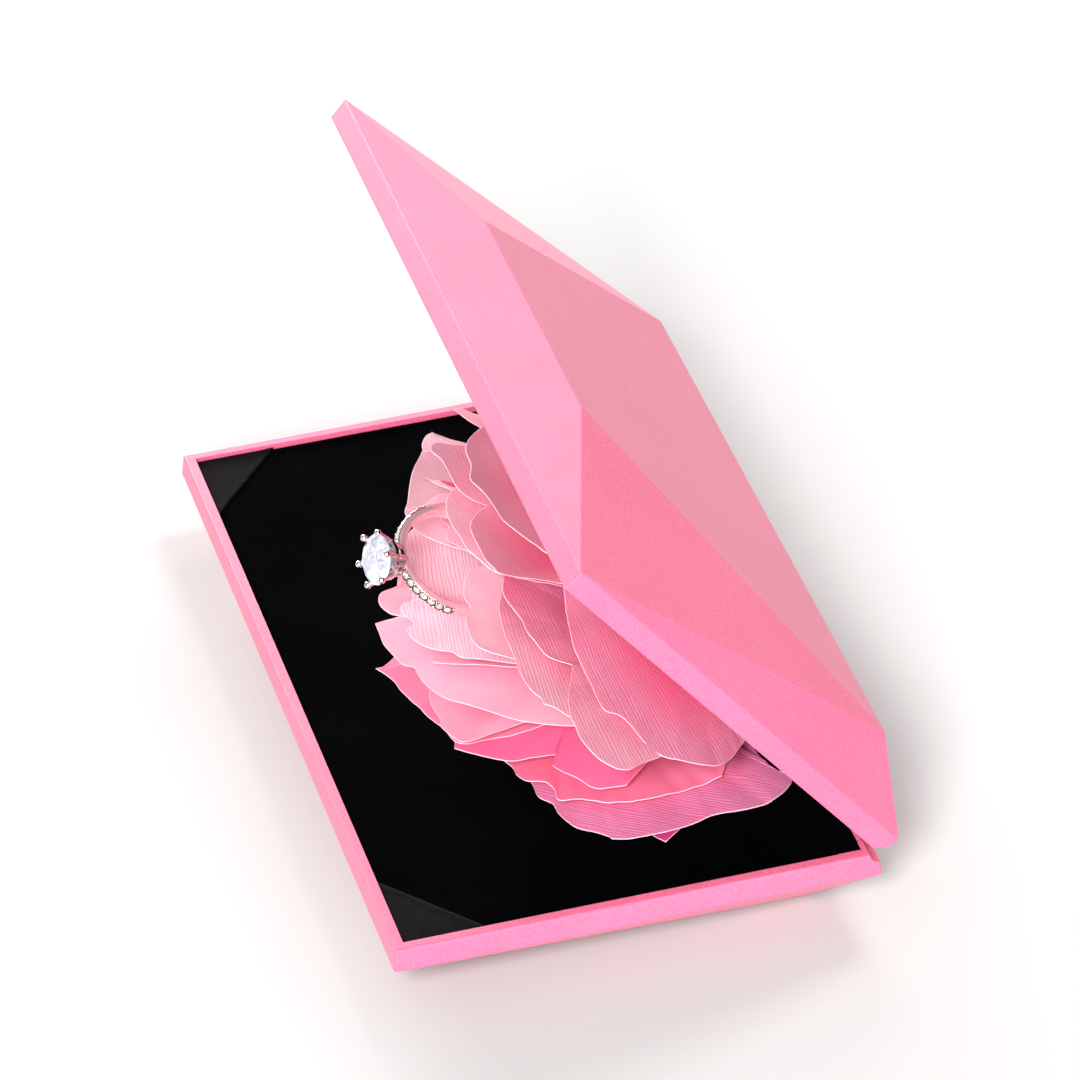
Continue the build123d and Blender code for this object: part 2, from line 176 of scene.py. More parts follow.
class Shader:
    """A small wrapper that adds and links nodes of one material."""

    def __init__(self, name):
        self.material = bpy.data.materials.new(name)
        self.material.use_nodes = True
        self.tree = self.material.node_tree
        self.surface = self.tree.nodes["Principled BSDF"]

    def node(self, kind, **settings):
        """Add a node; a setting is one of its properties or, failing that, one of its inputs."""
        made = self.tree.nodes.new(kind)
        for key, value in settings.items():
            if hasattr(made, key):
                setattr(made, key, value)
            else:
                made.inputs[key].default_value = value
        return made

    def link(self, source, target):
        self.tree.links.new(source, target)

    def feed(self, socket, value):
        """Link a node's output to the socket, or set it to a plain value."""
        if hasattr(value, "links"):
            self.link(value, socket)
        else:
            socket.default_value = value

    def set(self, **values):
        for key, value in values.items():
            self.surface.inputs[key.replace("_", " ")].default_value = value

    def to(self, socket_name, value):
        self.link(value, self.surface.inputs[socket_name])

    def position(self):
        return self.node("ShaderNodeTexCoord").outputs["Object"]

    def flat_place(self):
        """Millimetres along and across a sheet before it was bent."""
        return self.node("ShaderNodeUVMap", uv_map="length_and_width").outputs["UV"]

    def attribute(self, name):
        return self.node("ShaderNodeAttribute", attribute_name=name).outputs["Fac"]

    def split(self, vector):
        """The vector's X, Y and Z outputs."""
        made = self.node("ShaderNodeSeparateXYZ")
        self.link(vector, made.inputs[0])
        return made.outputs

    def noise(self, vector, scale, detail=3.0, rough=0.5):
        made = self.node("ShaderNodeTexNoise", Scale=scale, Detail=detail, Roughness=rough)
        self.link(vector, made.inputs["Vector"])
        return made.outputs["Fac"]

    def ramp(self, value, low, high, start=grey(0), stop=grey(1)):
        made = self.node("ShaderNodeValToRGB")
        made.color_ramp.elements[0].position = low
        made.color_ramp.elements[1].position = high
        made.color_ramp.elements[0].color = start
        made.color_ramp.elements[1].color = stop
        self.link(value, made.inputs["Fac"])
        return made.outputs["Color"]

    def scaled(self, vector, scale):
        made = self.node("ShaderNodeMapping", Scale=scale)
        self.link(vector, made.inputs["Vector"])
        return made.outputs["Vector"]

    def mix(self, factor, first, second, blend="MIX"):
        made = self.node("ShaderNodeMix", data_type="RGBA", blend_type=blend)
        for socket, value in ((made.inputs[0], factor), (made.inputs[6], first), (made.inputs[7], second)):
            self.feed(socket, value)
        return made.outputs[2]

    def tinted(self, first, second):
        return self.mix(1.0, first, second, "MULTIPLY")

    def maths(self, operation, *values):
        made = self.node("ShaderNodeMath", operation=operation)
        for socket, value in zip(made.inputs, values):
            self.feed(socket, value)
        return made.outputs[0]

    def bump(self, height, strength, distance):
        """A normal from a height; distance is in metres."""
        made = self.node("ShaderNodeBump", Strength=strength, Distance=distance)
        self.link(height, made.inputs["Height"])
        return made.outputs["Normal"]


# ---- materials ----------------------------------------------------------------------------------
# Noise scales are per metre of the object's space, or per millimetre of a sheet's flat place.
def floor_material():
    shader = Shader("floor_paper")
    shader.set(Base_Color=grey(FLOOR_GREY), Roughness=0.9, Specular_IOR_Level=0.1)
    return shader.material


def shell_material():
    """Soft-touch pink paint: fine grain in colour and bump, faint cloudiness, satin sheen."""
    shader = Shader("soft_touch_pink")
    place = shader.position()
    cloud = shader.noise(place, 45.0, 2.0)
    speck = shader.noise(place, 2600.0, 1.0, 0.6)
    colour = shader.ramp(cloud, 0.3, 0.7, (0.66, 0.112, 0.216, 1), (0.70, 0.126, 0.236, 1))
    grain = shader.ramp(speck, 0.25, 0.75, grey(0.80), grey(1.13))
    shader.to("Base Color", shader.tinted(colour, grain))
    shader.to("Roughness", shader.maths("MULTIPLY_ADD", speck, 0.12, 0.40))
    shader.set(Specular_IOR_Level=0.35, Sheen_Weight=0.08, Sheen_Roughness=0.5)
    shader.to("Normal", shader.bump(speck, 0.35, 0.00006))
    return shader.material


def liner_material():
    """Matt black cloth with a fine nap."""
    shader = Shader("black_liner")
    place = shader.position()
    nap = shader.noise(place, 3800.0, 2.0)
    cloud = shader.noise(place, 60.0, 3.0)
    tone = shader.ramp(cloud, 0.3, 0.8, (0.0005, 0.0005, 0.0008, 1), (0.0012, 0.0011, 0.0016, 1))
    shader.to("Base Color", tone)
    shader.set(Roughness=0.95, Specular_IOR_Level=0.004)
    shader.to("Normal", shader.bump(nap, 0.4, 0.00005))
    return shader.material


RIBBON_THREAD = 0.42  # mm across a thread and its gap


def ribbon_material():
    """Charcoal ribbon with a visible plain weave and a faint satin lift."""
    shader = Shader("charcoal_ribbon")
    flat = shader.flat_place()
    per_mm = 2 * pi / RIBBON_THREAD
    thread = shader.split(shader.scaled(flat, (per_mm, per_mm, 1)))
    weave = shader.maths("MULTIPLY", shader.maths("SINE", thread["X"]), shader.maths("SINE", thread["Y"]))
    cloud = shader.noise(flat, 0.35, 3.0)
    tone = shader.ramp(cloud, 0.3, 0.7, (0.0045, 0.0036, 0.0046, 1), (0.0078, 0.0064, 0.0078, 1))
    lines = shader.ramp(weave, -0.6, 0.6, grey(0.7), grey(1.25))
    shader.to("Base Color", shader.tinted(tone, lines))
    shader.set(Roughness=0.9, Specular_IOR_Level=0.03)
    shader.to("Normal", shader.bump(weave, 0.4, 0.00004))
    return shader.material


def velvet_material():
    """Short pink pile: speckled nap and a soft sheen."""
    shader = Shader("pink_velvet")
    place = shader.position()
    nap = shader.noise(place, 1800.0, 2.0)
    cloud = shader.noise(place, 220.0, 2.0)
    tone = shader.ramp(cloud, 0.3, 0.7, (0.88, 0.22, 0.36, 1), (0.95, 0.34, 0.48, 1))
    shader.to("Base Color", shader.tinted(tone, shader.ramp(nap, 0.3, 0.7, grey(0.8))))
    shader.set(Roughness=1.0, Specular_IOR_Level=0.1, Sheen_Weight=0.5, Sheen_Roughness=0.4)
    shader.to("Normal", shader.bump(nap, 0.6, 0.0001))
    return shader.material


def card_material():
    """Stiff pink card: fibres, mottling and a matt face."""
    shader = Shader("pink_card")
    place = shader.position()
    fibres = shader.noise(shader.scaled(place, (300, 2600, 2600)), 1.0, 3.0)
    cloud = shader.noise(place, 160.0, 3.0)
    tone = shader.ramp(cloud, 0.3, 0.7, (0.86, 0.20, 0.33, 1), (0.92, 0.27, 0.41, 1))
    shader.to("Base Color", shader.tinted(tone, shader.ramp(fibres, 0.3, 0.7, grey(0.88))))
    shader.set(Roughness=0.85, Specular_IOR_Level=0.15)
    shader.to("Normal", shader.bump(fibres, 0.3, 0.00004))
    return shader.material


def gem_material(name, dark, bright, pink_reflection, fire):
    """Clear cut stone in painted light: each facet shows its own painted reflection tone, and a share of fire
    paints small glints inside, some pink as a painted reflection of the rose.
    """
    shader = Shader(name)
    place = shader.position()
    normal = shader.node("ShaderNodeNewGeometry").outputs["True Normal"]
    flash = shader.node("ShaderNodeTexWhiteNoise", noise_dimensions="3D")
    shader.link(shader.scaled(normal, (7, 7, 7)), flash.inputs["Vector"])
    facet = shader.ramp(flash.outputs["Value"], 0.1, 0.75, rgba(dark), rgba(bright))
    fires = shader.node("ShaderNodeTexVoronoi", Scale=2300.0)
    shader.link(place, fires.inputs["Vector"])
    inside = shader.split(fires.outputs["Color"])
    spark = shader.ramp(inside["X"], 0.15, 0.75, rgba(dark), rgba(bright))
    spark = shader.mix(shader.ramp(inside["Y"], 0.60, 0.85), spark, rgba(pink_reflection))
    shader.to("Base Color", shader.mix(fire, facet, spark))
    shader.set(Roughness=0.03, IOR=2.2, Transmission_Weight=0.30, Specular_IOR_Level=0.5)
    return shader.material


def metal_material(name, colour, roughness, brush=0.0, metallic=1.0):
    """Metal worn a little unevenly; brush is the strength of fine lines along the hinge."""
    shader = Shader(name)
    place = shader.position()
    wear = shader.noise(place, 900.0, 3.0)
    dark = [c * 0.88 for c in colour]
    shader.to("Base Color", shader.ramp(wear, 0.3, 0.7, rgba(dark), rgba(colour)))
    shader.set(Metallic=metallic)
    shader.to("Roughness", shader.maths("MULTIPLY_ADD", wear, roughness * 0.6, roughness * 0.7))
    if brush:
        lines = shader.noise(shader.scaled(place, (30, 3000, 3000)), 1.0, 2.0)
        shader.to("Normal", shader.bump(lines, brush, 0.00002))
    return shader.material


# A petal's tone runs from PALE at 0 to DEEP at 1, or past them; it is partly the paper's own colour and
# partly painted light and shade, paler on petals in light and deeper on those in shadow.  A share up to 1
# then tints it by the painted shadow of the lid.  ROOT is painted shade, the deeper colour down between the
# petals.  SHADE tints what lies in painted shade, GLOW the light let through.
PALE, DEEP, ROOT = (1.0, 0.78, 0.86), (0.96, 0.22, 0.45), (0.97, 0.21, 0.42)
SHADOW_TINT, SHADE, GLOW = (0.86, 0.95, 1.08), (0.84, 0.56, 0.73), (1.0, 0.42, 0.64)
MOTTLE = (0.98, 0.80, 0.86)  # the darker end of a petal's cloudiness, against its own colour
# painted highlight along each petal's cut edge
EDGE_HIGHLIGHT = (1.0, 0.70, 0.78)
RIB_PITCH = 0.66  # mm
RIB_WANDER = 18.0  # radians by which the ribs drift
TRANSLUCENT = 0.35  # share of the light that goes through the paper


def petal_material(name, ribbed, tone, shadow_share):
    """Crepe paper: fine ribs run the length of the petal, tone varies, and the cut edge carries a painted
    highlight.
    """
    shader = Shader(name)
    flat = shader.flat_place()
    drift = shader.noise(shader.scaled(flat, (0.05, 0.30, 1)), 1.0, 2.0)
    phase = shader.maths("ADD", shader.maths("MULTIPLY", shader.split(flat)["Y"], 2 * pi / RIB_PITCH),
                         shader.maths("MULTIPLY", drift, RIB_WANDER))
    wave = shader.maths("SINE", phase)
    threads = shader.noise(shader.scaled(flat, (0.12, 3.4, 1)), 1.0, 2.0, 0.6)
    height = shader.maths("ADD", shader.maths("MULTIPLY", wave, 0.30), shader.maths("MULTIPLY", threads, 1.1))
    grain = shader.noise(flat, 3.0, 2.0, 0.6)
    cloud = shader.noise(shader.scaled(flat, (0.05, 0.09, 1)), 1.0, 2.0)
    # the colour at this tone, with the painted shadow of the lid mixed in by its share
    base = [(p + (d - p) * tone) * (1 + (k - 1) * shadow_share) for p, d, k in zip(PALE, DEEP, SHADOW_TINT)]
    mottled = [c * k for c, k in zip(base, MOTTLE)]
    face = shader.ramp(cloud, 0.3, 0.75, rgba(mottled), rgba(base))
    if ribbed:
        # the ribs' colour: painted shade in the grooves, darker on deep petals, and painted highlight on the
        # crests
        groove_shade = 0.88 - 0.20 * max(0.0, tone)  # deep petals have darker grooves
        lines = shader.ramp(height, 0.20, 0.95, (0.97, groove_shade, groove_shade + 0.04, 1), (1.01, 1.13, 1.10, 1))
        face = shader.tinted(face, lines)
        normal = shader.bump(height, 0.4, 0.00015)
    else:
        face = shader.tinted(face, shader.ramp(grain, 0.3, 0.7, (0.98, 0.94, 0.95, 1)))
        relief = shader.maths("ADD", grain, shader.maths("MULTIPLY", height, 0.35))
        normal = shader.bump(relief, 0.35, 0.00008)
    # painted shade towards the root, down between the petals
    root_shade_most = min(1.0, 0.35 + 2.0 * max(0.0, tone))  # pale petals stay paler at their root
    root_shade_mix = shader.ramp(shader.attribute("root_shade"), 0.15, 0.80, stop=grey(root_shade_most))
    face = shader.mix(root_shade_mix, face, rgba(ROOT))
    face = shader.tinted(face, shader.mix(shader.attribute("in_shade"), grey(1), rgba(SHADE)))
    shader.to("Base Color", shader.mix(shader.attribute("edge_highlight"), face, rgba(EDGE_HIGHLIGHT)))
    shader.set(Roughness=0.8, Specular_IOR_Level=0.2)
    shader.to("Normal", normal)
    glow = shader.node("ShaderNodeBsdfTranslucent")
    shader.link(shader.tinted(face, rgba(GLOW)), glow.inputs["Color"])
    both = shader.node("ShaderNodeMixShader")
    both.inputs[0].default_value = TRANSLUCENT
    shader.link(shader.surface.outputs[0], both.inputs[1])
    shader.link(glow.outputs[0], both.inputs[2])
    shader.link(both.outputs[0], shader.tree.nodes["Material Output"].inputs["Surface"])
    return shader.material


# ---- meshes and pieces --------------------------------------------------------------------------
def finish_mesh(bm, name, smooth=False):
    bmesh.ops.recalc_face_normals(bm, faces=bm.faces)
    for face in bm.faces:
        face.smooth = smooth
    mesh = bpy.data.meshes.new(name)
    bm.to_mesh(mesh)
    bm.free()
    return mesh


def join_rows(bm, rows, flat):
    """Faces between neighbouring rows of vertices; flat gives each vertex its place in the flat sheet."""
    layers = bm.loops.layers.uv
    layer = layers.get("length_and_width") or layers.new("length_and_width")
    for row, after in zip(rows, rows[1:]):
        for k in range(len(row) - 1):
            face = bm.faces.new((row[k], row[k + 1], after[k + 1], after[k]))
            for loop in face.loops:
                loop[layer].uv = flat[loop.vert]


def add_piece(name, mesh, material, slot, *nodes):
    """Link a piece; it stands for the CAD nodes named."""
    piece = bpy.data.objects.new(name, mesh)
    bpy.context.scene.collection.objects.link(piece)
    piece.data.materials.append(material)
    if nodes:
        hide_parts(*nodes)
    return piece


def apply_modifiers(piece):
    bpy.context.view_layer.update()
    graph = bpy.context.evaluated_depsgraph_get()
    made = bpy.data.meshes.new_from_object(piece.evaluated_get(graph), depsgraph=graph)
    piece.modifiers.clear()
    piece.data = made


def thicken(piece, thickness):
    """Give a sheet its thickness, half to each side."""
    thick = piece.modifiers.new("thickness", "SOLIDIFY")
    thick.thickness, thick.offset = thickness * MM, 0
    apply_modifiers(piece)


# ---- petals -------------------------------------------------------------------------------------
# Every outline runs round the free edge in (x, reach) millimetres, from one side of the root to the
# other; a third value marks a sharp corner.  "angle" is the fan angle in degrees at x FALL_FROM, "fall"
# the degrees it changes for each millimetre of x, and "ribs" their direction in degrees from x.
# "ruffle" and "belly" are how far the paper waves and bulges, and towards lower x than "shade_to" it lies in
# painted shade.  "ribbed" and "tone" choose its paper, the tone partly as painted light and shade, and one
# more key, a share up to 1, tints it with a painted shadow of the lid.
CORNER = "corner"
PETALS = {
    # a petal tip dark in painted shade: its deep tone, lid shadow share and shade all stand for shade
    "petal_under": dict(angle=-25.3, ribs=80, ruffle=0.1, tone=1.2, shadow_share=1.0, shade_to=90, rim=[
        (22, 14), (40, 12), (49, 9.5), (54, 11), (56, 20), (57.4, 26.6), (60, 30), (61.5, 31.8, CORNER),
        (59.3, 33.2), (57, 34.2), (52, 40), (40, 46), (26, 48)]),
    "petal_base_near_1": dict(angle=-24.3, ribs=-54, ruffle=0.35, ribbed=1, tone=0.8, shadow_share=1.0, rim=[
        (18, 12), (36, 11), (43, 10.5), (48, 9.5), (50.5, 7.8), (53, 8), (56.6, 12), (57.8, 17), (57.4, 22),
        (58.6, 27), (59.8, 32), (59.9, 37), (58.7, 40), (58, 40.2), (56, 42.5), (53.7, 45), (50, 46.5),
        (47, 46.8), (44.6, 48.5), (40, 48.5), (34, 50), (22, 50)]),
    "petal_base_near_2": dict(angle=-21.6, ribs=80, ruffle=0.3, tone=0.85, belly=-0.6, rim=[
        (16, 14), (34, 10), (41, 13), (46, 17.2, CORNER), (48.8, 18.6, CORNER), (49.8, 21.7), (51.4, 28),
        (52, 34.6), (50.3, 41), (49.5, 42.7), (49.3, 45.6), (48.5, 46.5), (46.2, 46.2), (44.2, 47.2),
        (43.4, 49.8), (41, 51.1), (37.5, 51.2), (30, 54), (14, 52)]),
    "petal_base_near_3": dict(angle=-18.6, ribs=70, ruffle=0.2, tone=1.0, belly=0.8, rim=[
        (18, 20), (34, 20), (42.5, 27), (44.4, 30.1), (45.9, 31.5), (50, 35.3, CORNER), (49.8, 40.4),
        (47.4, 42.3), (44.6, 44.6), (42.5, 45.7, CORNER), (39.4, 44.2, CORNER), (40, 48.2), (40.3, 52.5),
        (37.3, 57.6), (35.5, 60.4, CORNER), (28, 58), (20, 53), (12, 42)]),
    "petal_front_1": dict(angle=-17.4, ribs=60, ruffle=0.3, tone=0.75, rim=[
        (26, 30), (33, 46), (34.8, 54), (35.8, 59.6), (30.5, 61.6), (28, 62.5), (23.8, 64), (19.3, 65.3),
        (16.2, 66), (12.8, 68, CORNER), (11.9, 66), (5, 60), (-2, 50)]),
    "petal_base_near_4": dict(angle=-15.6, ribs=60, ruffle=0.2, tone=0.5, belly=0.6, rim=[
        (20, 26), (30, 38), (33.3, 48.3), (37.8, 57.8), (38.2, 60.3, CORNER), (36.1, 61.5), (33.3, 62.5),
        (31.7, 62), (27, 62.4), (22.5, 61.5), (14, 58), (4, 48)]),
    "petal_front_3": dict(angle=-13.2, ribs=60, ruffle=0.15, tone=0.26, belly=0.9, rim=[
        (22, 28), (36, 34), (37.6, 41), (36.7, 47.8), (34.9, 51.9), (31.1, 57.2), (29.2, 60.6),
        (26.1, 62.9), (22, 63.8), (20, 63.9), (19, 65.8), (13.9, 67.1), (11.9, 67.3), (6.6, 67.1, CORNER),
        (4.5, 62.2), (0, 56), (-6, 44)]),
    "petal_front_2": dict(angle=-12.2, fall=0.55, ribs=85, ruffle=0.1, tone=0.0, rim=[
        (23.6, 38), (24.8, 45), (24.7, 48), (24, 53.5), (23.6, 60), (23.2, 62, CORNER), (20, 61), (15, 57),
        (11, 48), (12, 40)]),
    "petal_front_lobe": dict(angle=-9, ribs=40, ruffle=0.1, tone=0.0, belly=-1.0, rim=[
        (14, 50), (12.5, 60), (11.5, 65), (11, 66.7), (8.6, 67.8), (6.2, 67.4), (4.6, 66.3), (2.2, 62.8),
        (-3, 57), (-8, 46)]),
    "petal_heart_back": dict(angle=-7, ribs=10, ruffle=0.15, ribbed=1, tone=-0.2, rim=[
        (20, 34), (26, 42), (27, 50), (26.9, 56), (26.8, 59), (25.3, 60.3), (25.1, 62.6), (24.2, 65),
        (22.1, 66.5), (19.4, 66.6), (17.9, 65.2), (16.9, 65), (14.5, 66.1), (13, 66), (11, 64.7), (9.8, 63),
        (5, 62), (-1, 61.3), (-8, 59.8), (-12, 57.6), (-15.2, 54.6), (-17, 51), (-20, 44), (-20, 36)]),
    "petal_heart_side": dict(angle=-2.4, ribs=0, ruffle=0.15, ribbed=1, tone=0.1, rim=[
        (12, 38), (8, 45), (4, 49), (1.2, 50.5), (-1, 52.2), (-2.6, 54.6), (-4.3, 54.6), (-7.8, 53.2),
        (-9.5, 54.2), (-13, 53), (-16, 48), (-14, 40)]),
    "petal_near_1": dict(angle=-0.5, fall=-0.06, ribs=10, ruffle=0.1, tone=-0.1, belly=-0.6, rim=[
        (36, 42), (34.5, 50), (33.9, 56), (33.6, 57.9), (32.5, 59.7), (30, 60.5), (26.4, 60.3),
        (24.2, 59.6), (22.3, 58.5), (20.4, 58.1), (18.9, 58.6), (13.8, 57.2), (10.8, 55.7), (8.9, 53.6),
        (7.6, 50.4), (8, 44)]),
    "petal_near_2": dict(angle=0.7, fall=-0.08, ribs=3, ruffle=0.15, ribbed=1, tone=0.2, shade_to=38, rim=[
        (34, 34), (46, 40), (50, 45), (49.1, 48.1, CORNER), (47.3, 50.6), (47, 52), (45.7, 51.9),
        (43.4, 53.5), (38.8, 54.2), (35.4, 54), (30, 54.3), (24, 53.8), (21.2, 53.3), (14, 50.7),
        (11.5, 50), (8, 46), (8, 38)]),
    "petal_near_3": dict(angle=4.3, fall=-0.14, ribs=-8, ruffle=0.2, ribbed=1, tone=0.4, shade_to=46, rim=[
        (46, 22), (54, 29), (57, 33.7), (59, 36.7), (61.8, 40.2), (62.6, 41.5), (62.6, 43.6), (61.5, 45.4),
        (60.4, 46.6), (57.3, 48.2), (53.7, 48.7), (51.4, 49.1), (47, 48.3), (43.3, 47.1), (38.7, 45.5),
        (37.5, 45.2, CORNER), (37, 48.3), (36.3, 49.8), (33, 51.4), (31.3, 52.1), (28, 52.4), (24.8, 53.9),
        (22, 54.4), (17.3, 53, CORNER), (14.6, 41.3), (16, 30)]),
    "petal_near_4": dict(angle=8.7, fall=-0.26, ribs=-10, ruffle=0.2, ribbed=1, tone=0.62, shadow_share=0.4, rim=[
        (36, 12), (46, 15), (50.1, 17.3), (54.5, 20.7), (56.8, 23.2), (57.9, 26), (57.9, 29), (57.2, 33.5),
        (55.4, 35.7), (53.1, 37.2), (50.7, 38.4), (49.3, 39.8), (49, 42), (47.1, 43), (42.1, 43.8),
        (38, 44.7), (34.3, 45.4), (27.1, 44.9), (20.1, 44.4), (12, 44), (6, 36)]),
    "petal_heart_front": dict(angle=9.5, ribs=-8, ruffle=0.15, ribbed=1, tone=0.38, rim=[
        (19, 32), (21.9, 45.7), (27.1, 58.8), (26.3, 60.6), (24.4, 61.6), (21, 61.8), (15.9, 61.7),
        (12.5, 60.8), (8.2, 58.3), (3.4, 54.8, CORNER), (-3, 48), (-5, 34)]),
    "petal_far_2": dict(angle=6.5, ribs=-4, ruffle=0.15, ribbed=1, tone=0.02, rim=[
        (16, 34), (18.5, 46), (20.5, 55), (20.4, 57.2), (17.5, 59.5), (15.1, 60.6), (12.2, 61), (8.5, 61.8),
        (3.4, 60.9), (0.3, 59.9), (-2.6, 58.4), (-5.9, 56.2), (-10, 51), (-13, 42), (-12, 34)]),
    "petal_far_1": dict(angle=-2, ribs=20, ruffle=0.1, tone=-0.25, belly=-1.2, rim=[
        (0, 40), (0, 52), (-3, 59.6), (-8.5, 61), (-13.3, 59.3), (-20.3, 56.9), (-25.2, 54.9),
        (-32.2, 51.3), (-36, 50.1), (-38.6, 48), (-37.8, 45), (-36, 39), (-28, 33)]),
    "petal_far_3": dict(angle=8, ribs=2, ruffle=0.15, ribbed=1, tone=0.2, shadow_share=0.2, rim=[
        (-6, 32), (-1, 44), (0.1, 53.2), (-0.5, 56.3), (-2.7, 57.9), (-6.6, 58.3), (-10.6, 58.7),
        (-12.4, 59.9), (-14.1, 59.7), (-16.2, 58.3), (-18.2, 54.4), (-19.9, 51), (-23, 43), (-22, 34)]),
    "petal_far_tip_fold": dict(angle=-1, ribs=20, ruffle=0.1, tone=-0.4, rim=[
        (-33.8, 41.8), (-35.4, 42.6), (-35.7, 45.4), (-35.8, 47.3), (-36.7, 47.9), (-37.5, 48.4),
        (-36.2, 49.5), (-34.3, 50.8), (-32.6, 51.7), (-30.6, 52.1), (-29.9, 51.7, CORNER), (-30.4, 50.4)]),
    "petal_far_fold": dict(angle=0, ribs=80, ruffle=0.1, tone=-0.3, rim=[
        (-16, 47), (-17.6, 50.1), (-17.9, 51.4), (-18.7, 52.8), (-18.5, 54.8), (-18.5, 55.7, CORNER),
        (-17.8, 54.1), (-17.5, 52.7), (-16.3, 51), (-14.5, 48)]),
    # the inside of a fold: its deep tone is painted shade under the fold
    "petal_far_fold_inside": dict(angle=-0.6, ribs=80, ruffle=0.1, tone=1.1, rim=[
        (-17, 47), (-19.6, 49), (-20.4, 49.6), (-20.3, 51.3), (-19.7, 52.8, CORNER), (-18.9, 50.9),
        (-17.5, 48.5)]),
    "petal_far_roll": dict(angle=2, ribs=60, ruffle=0.1, tone=0.1, belly=0.5, rim=[
        (-12.5, 51), (-11.2, 54.2), (-10.1, 56.2), (-7.5, 58.4), (-5.4, 60.1), (-4.1, 61.9),
        (-2.3, 64.3, CORNER), (-2.7, 61.5), (-4.2, 60), (-6, 58.2), (-5.3, 57.2), (-6.3, 55.6), (-7, 52)]),
    "petal_far_4": dict(angle=-9.6, ribs=20, ruffle=0.3, tone=0.3, rim=[
        (-2, 34), (0, 46), (-4, 55), (-9, 58), (-16, 55.4), (-24, 51.6), (-33, 48), (-42, 43), (-43, 36),
        (-30, 28)]),
    "petal_far_tips": dict(angle=-8, ribs=40, ruffle=0.1, tone=0.3, rim=[
        (-38, 20), (-44, 28), (-50.7, 33.9), (-53, 35.7), (-56.3, 37.4, CORNER), (-56.9, 35.9), (-55, 32),
        (-52, 22)]),
    "petal_lid_1": dict(angle=12.5, ribs=-2, ruffle=0.15, tone=0.3, shadow_share=0.3, rim=[
        (10, 26), (18, 38), (18.3, 48.2), (17.1, 50.7), (15.7, 54), (13.7, 56.4), (10.2, 57.2), (6.6, 58.1),
        (3.4, 60.2), (-2.1, 58.3), (-7.3, 57.6), (-11.1, 56.1), (-15.4, 53.6), (-21.8, 48.7), (-28, 42),
        (-32, 28)]),
    "petal_base_far_1": dict(angle=-24.4, ribs=96, ruffle=0.4, ribbed=1, tone=0.35, rim=[
        (-20, 50), (-30, 50), (-37, 47), (-44, 43), (-50, 39), (-53, 33), (-52.6, 27), (-54, 20), (-52, 13),
        (-46, 10), (-38, 12), (-18, 12)]),
    "petal_base_far_2": dict(angle=-21.8, ribs=96, ruffle=0.3, tone=0.4, rim=[
        (-8, 52), (-20, 53), (-28, 49), (-37, 46), (-43, 42), (-48, 36), (-48, 28), (-45, 20), (-36, 14),
        (-16, 14)]),
    "petal_base_far_3": dict(angle=-19.3, ribs=110, ruffle=0.3, tone=0.35, rim=[
        (-2, 50), (-6, 58), (-15, 57), (-24, 53), (-31, 49), (-39, 44), (-45, 37), (-44, 30), (-36, 22),
        (-14, 20)]),
    "petal_base_far_4": dict(angle=-16.6, ribs=110, ruffle=0.3, tone=0.3, rim=[
        (6, 46), (2, 59), (-6, 60), (-13, 57), (-22, 54), (-29, 50), (-38, 45), (-41, 38), (-34, 28),
        (-14, 24)]),
    "petal_lid_far_1": dict(angle=15.5, ribs=-170, ruffle=0.4, tone=0.4, rim=[
        (-4, 28), (4, 40), (0, 49), (-10, 50), (-22, 47), (-34, 44), (-46, 40), (-50, 33), (-42, 24),
        (-22, 20)]),
    "petal_lid_near_1": dict(angle=18, ribs=-8, ruffle=0.4, ribbed=1, tone=0.5, rim=[
        (-2, 22), (-6, 36), (-2, 48), (10, 52), (22, 50), (32, 46), (42, 38), (46, 30), (40, 22),
        (20, 16)]),
    "petal_lid_far_2": dict(angle=20.6, ribs=-172, ruffle=0.4, ribbed=1, tone=0.4, rim=[
        (6, 24), (10, 38), (4, 50), (-10, 54), (-24, 51), (-38, 46), (-50, 38), (-54, 28), (-44, 20),
        (-20, 14)]),
    "petal_lid_2": dict(angle=23, ribs=-4, ruffle=0.5, ribbed=1, tone=0.5, rim=[
        (-24, 18), (-32, 32), (-26, 46), (-12, 54), (6, 56), (22, 53), (38, 48), (50, 40), (56, 30),
        (52, 20), (38, 12), (14, 10)]),
}
RIM_STEP = 0.7  # between points along a free edge
ROOT_SHARE = (0.25, 0.75)  # the root is this stretch of the line between the free edge's two ends
CUT_EDGE = 0.13  # width of the cut edge's painted highlight
ROWS, ROW_POWER = 20, 0.8  # rows from the root to the cut edge; below 1, the power crowds them at the edge
FALL_FROM = 20  # x at which a petal has its stated angle
BELLY_SPAN = 20  # shorter stretches have less belly
WAVE, CRINKLE = (2.0, 7.0), (0.8, 2.6)  # height and length of the slow and the fast ruffle
ROOT_RUN = 28  # over which the colour turns to the painted shade at the root
SHADE_RUN = 26.0  # over which a petal darkens away from the near end
SEED_SHIFT = 37  # moves each petal's ribs and clouds to their own place
PAPER = 0.16  # thickness
BODY_SHARES = (0.03, 0.97)  # least and most of the lid's turn worked out for a petal


def curve_point(a, b, c, d, t):
    """Catmull-Rom curve from b to c."""
    bend, twist = 2 * a - 5 * b + 4 * c - d, 3 * b - a - 3 * c + d
    return 0.5 * (2 * b + (c - a) * t + bend * t * t + twist * t ** 3)


def rim_curve(points):
    """Evenly spaced points along the free edge, smooth except at marked corners."""
    places = [Vector(p[:2]) for p in points]
    corners = [0] + [k for k, p in enumerate(points) if len(p) == 3] + [len(points) - 1]
    made = [places[0]]
    for first, last in zip(corners, corners[1:]):
        run = places[first:last + 1]
        run = [2 * run[0] - run[1]] + run + [2 * run[-1] - run[-2]]
        for a, b, c, d in zip(run, run[1:], run[2:], run[3:]):
            count = max(2, round((c - b).length / RIM_STEP))
            made += [curve_point(a, b, c, d, (k + 1) / count) for k in range(count)]
    return made


